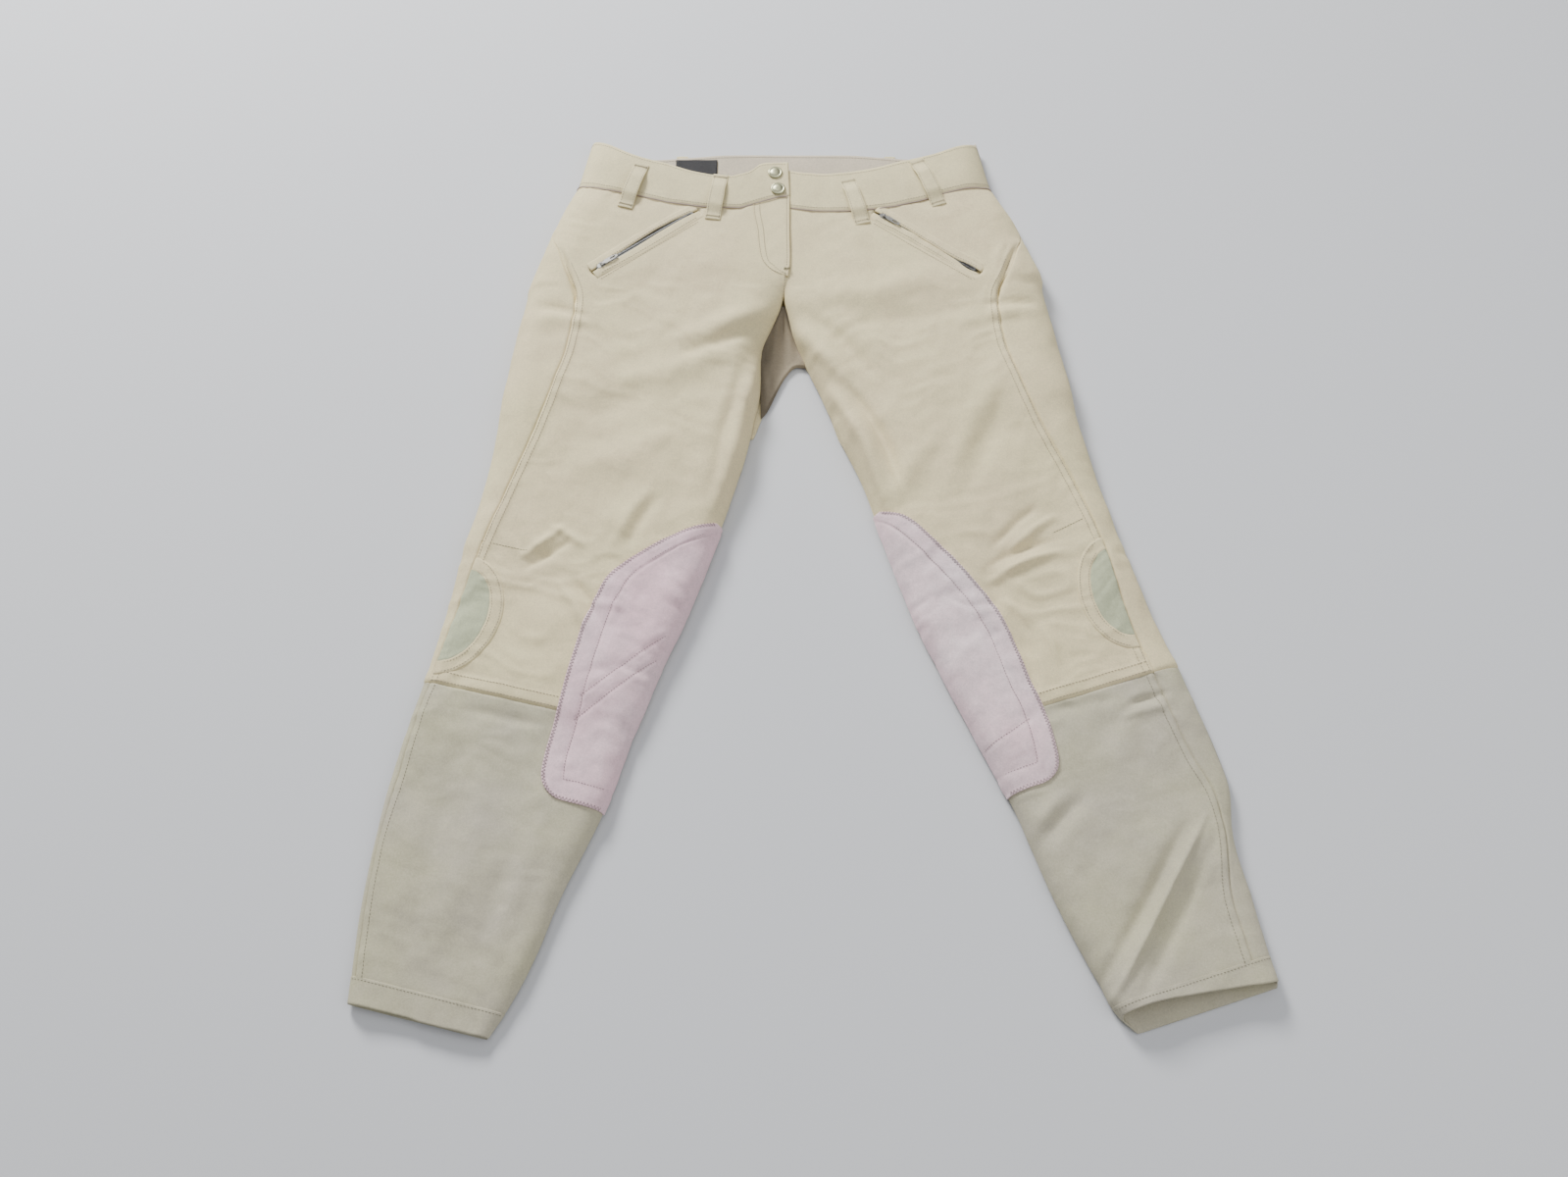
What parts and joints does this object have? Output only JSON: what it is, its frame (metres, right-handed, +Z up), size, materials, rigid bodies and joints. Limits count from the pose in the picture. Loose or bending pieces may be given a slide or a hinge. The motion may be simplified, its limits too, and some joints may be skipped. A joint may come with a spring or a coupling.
{
  "type": "riding breeches",
  "caption": "Women's riding breeches with suede knee patches, stretch lower legs, zipped front pockets, a two-snap waistband and belt loops, laid face up with the legs apart.",
  "frame": {"origin": "centre of the footprint, on the floor", "axes": "+Z up out of the garment's front, +Y towards the waist, +X towards the wearer's left side"},
  "size_m": [0.7784, 0.9372, 0.0417],
  "materials": {
    "beige_twill": "soft woven",
    "calf_stretch": "fine ribbed knit",
    "insert_stretch": "fine knit",
    "lilac_suede": "brushed suede",
    "zip_tape": "woven tape",
    "zip_metal": "satin",
    "snap_metal": "polished",
    "label_black": "woven satin",
    "lining_cotton": "plain woven"
  },
  "bodies": {
    "pelvis": {"right_front_panel": "beige_twill", "right_knee_insert": "insert_stretch", "right_back_panel": "beige_twill", "right_knee_patch": "lilac_suede", "right_pocket_zip_tape": "zip_tape", "right_pocket_zip_teeth": "zip_metal", "right_pocket_bag": "lining_cotton", "left_front_panel": "beige_twill", "left_knee_insert": "insert_stretch", "left_back_panel": "beige_twill", "left_knee_patch": "lilac_suede", "left_pocket_zip_tape": "zip_tape", "left_pocket_zip_teeth": "zip_metal", "left_pocket_bag": "lining_cotton", "crotch_gusset": "beige_twill", "waistband_front_right": "beige_twill", "waistband_front_left": "beige_twill", "waistband_back": "beige_twill", "inner_label": "label_black", "fly_zip_tape": "zip_tape", "fly_zip_teeth": "zip_metal", "fly_shield": "lining_cotton", "fly_bar_tack": "zip_tape", "snap_stud_lower": "snap_metal", "snap_stud_upper": "snap_metal", "belt_loop_front_1": "beige_twill", "belt_loop_front_2": "beige_twill", "belt_loop_front_3": "beige_twill", "belt_loop_front_4": "beige_twill", "belt_loop_back_1": "beige_twill", "belt_loop_back_2": "beige_twill", "belt_loop_back_3": "beige_twill"},
    "right_lower_leg": {"right_calf_front": "calf_stretch", "right_calf_back": "calf_stretch", "right_hem_band": "calf_stretch", "right_knee_patch_lower": "lilac_suede"},
    "left_lower_leg": {"left_calf_front": "calf_stretch", "left_calf_back": "calf_stretch", "left_hem_band": "calf_stretch", "left_knee_patch_lower": "lilac_suede"},
    "fly_flap": {"fly_flap": "beige_twill", "waistband_tab": "beige_twill", "snap_socket_lower": "snap_metal", "snap_socket_upper": "snap_metal", "snap_cap_lower": "snap_metal", "snap_cap_upper": "snap_metal"},
    "fly_slider": {"fly_zip_slider": "zip_metal", "fly_zip_pull": "zip_metal"},
    "right_pocket_slider": {"right_pocket_slider": "zip_metal"},
    "right_pocket_pull": {"right_pocket_pull": "zip_metal"},
    "left_pocket_slider": {"left_pocket_slider": "zip_metal"},
    "left_pocket_pull": {"left_pocket_pull": "zip_metal"}
  },
  "joints": [
    {"name": "right_knee_fold", "type": "hinge", "parent": "pelvis", "child": "right_lower_leg", "pos_m": [-0.26141, -0.17505, 0.0229], "axis": [-0.972, 0.2351, 0], "range_deg": [0, 170]},
    {"name": "left_knee_fold", "type": "hinge", "parent": "pelvis", "child": "left_lower_leg", "pos_m": [0.24417, -0.16724, 0.0229], "axis": [-0.9542, -0.299, 0], "range_deg": [0, 170]},
    {"name": "fly_flap_fold", "type": "hinge", "parent": "pelvis", "child": "fly_flap", "pos_m": [-0.01971, 0.28958, 0.0352], "axis": [0.3288, -0.9444, 0], "range_deg": [0, 150]},
    {"name": "fly_zip_slide", "type": "slide", "parent": "pelvis", "child": "fly_slider", "axis": [0, -1, 0], "range_m": [0, 0.05]},
    {"name": "right_pocket_zip_slide", "type": "slide", "parent": "pelvis", "child": "right_pocket_slider", "axis": [0.809, 0.5878, 0], "range_m": [0, 0.107]},
    {"name": "right_pocket_pull_hinge", "type": "hinge", "parent": "right_pocket_slider", "child": "right_pocket_pull", "pos_m": [-0.21034, 0.29328, 0.03635], "axis": [0.5878, -0.809, 0], "range_deg": [0, 160]},
    {"name": "left_pocket_zip_slide", "type": "slide", "parent": "pelvis", "child": "left_pocket_slider", "axis": [0.809, -0.5878, 0], "range_m": [0, 0.107]},
    {"name": "left_pocket_pull_hinge", "type": "hinge", "parent": "left_pocket_slider", "child": "left_pocket_pull", "pos_m": [0.07836, 0.35617, 0.03355], "axis": [-0.5878, -0.809, 0], "range_deg": [0, 160]}
  ]
}
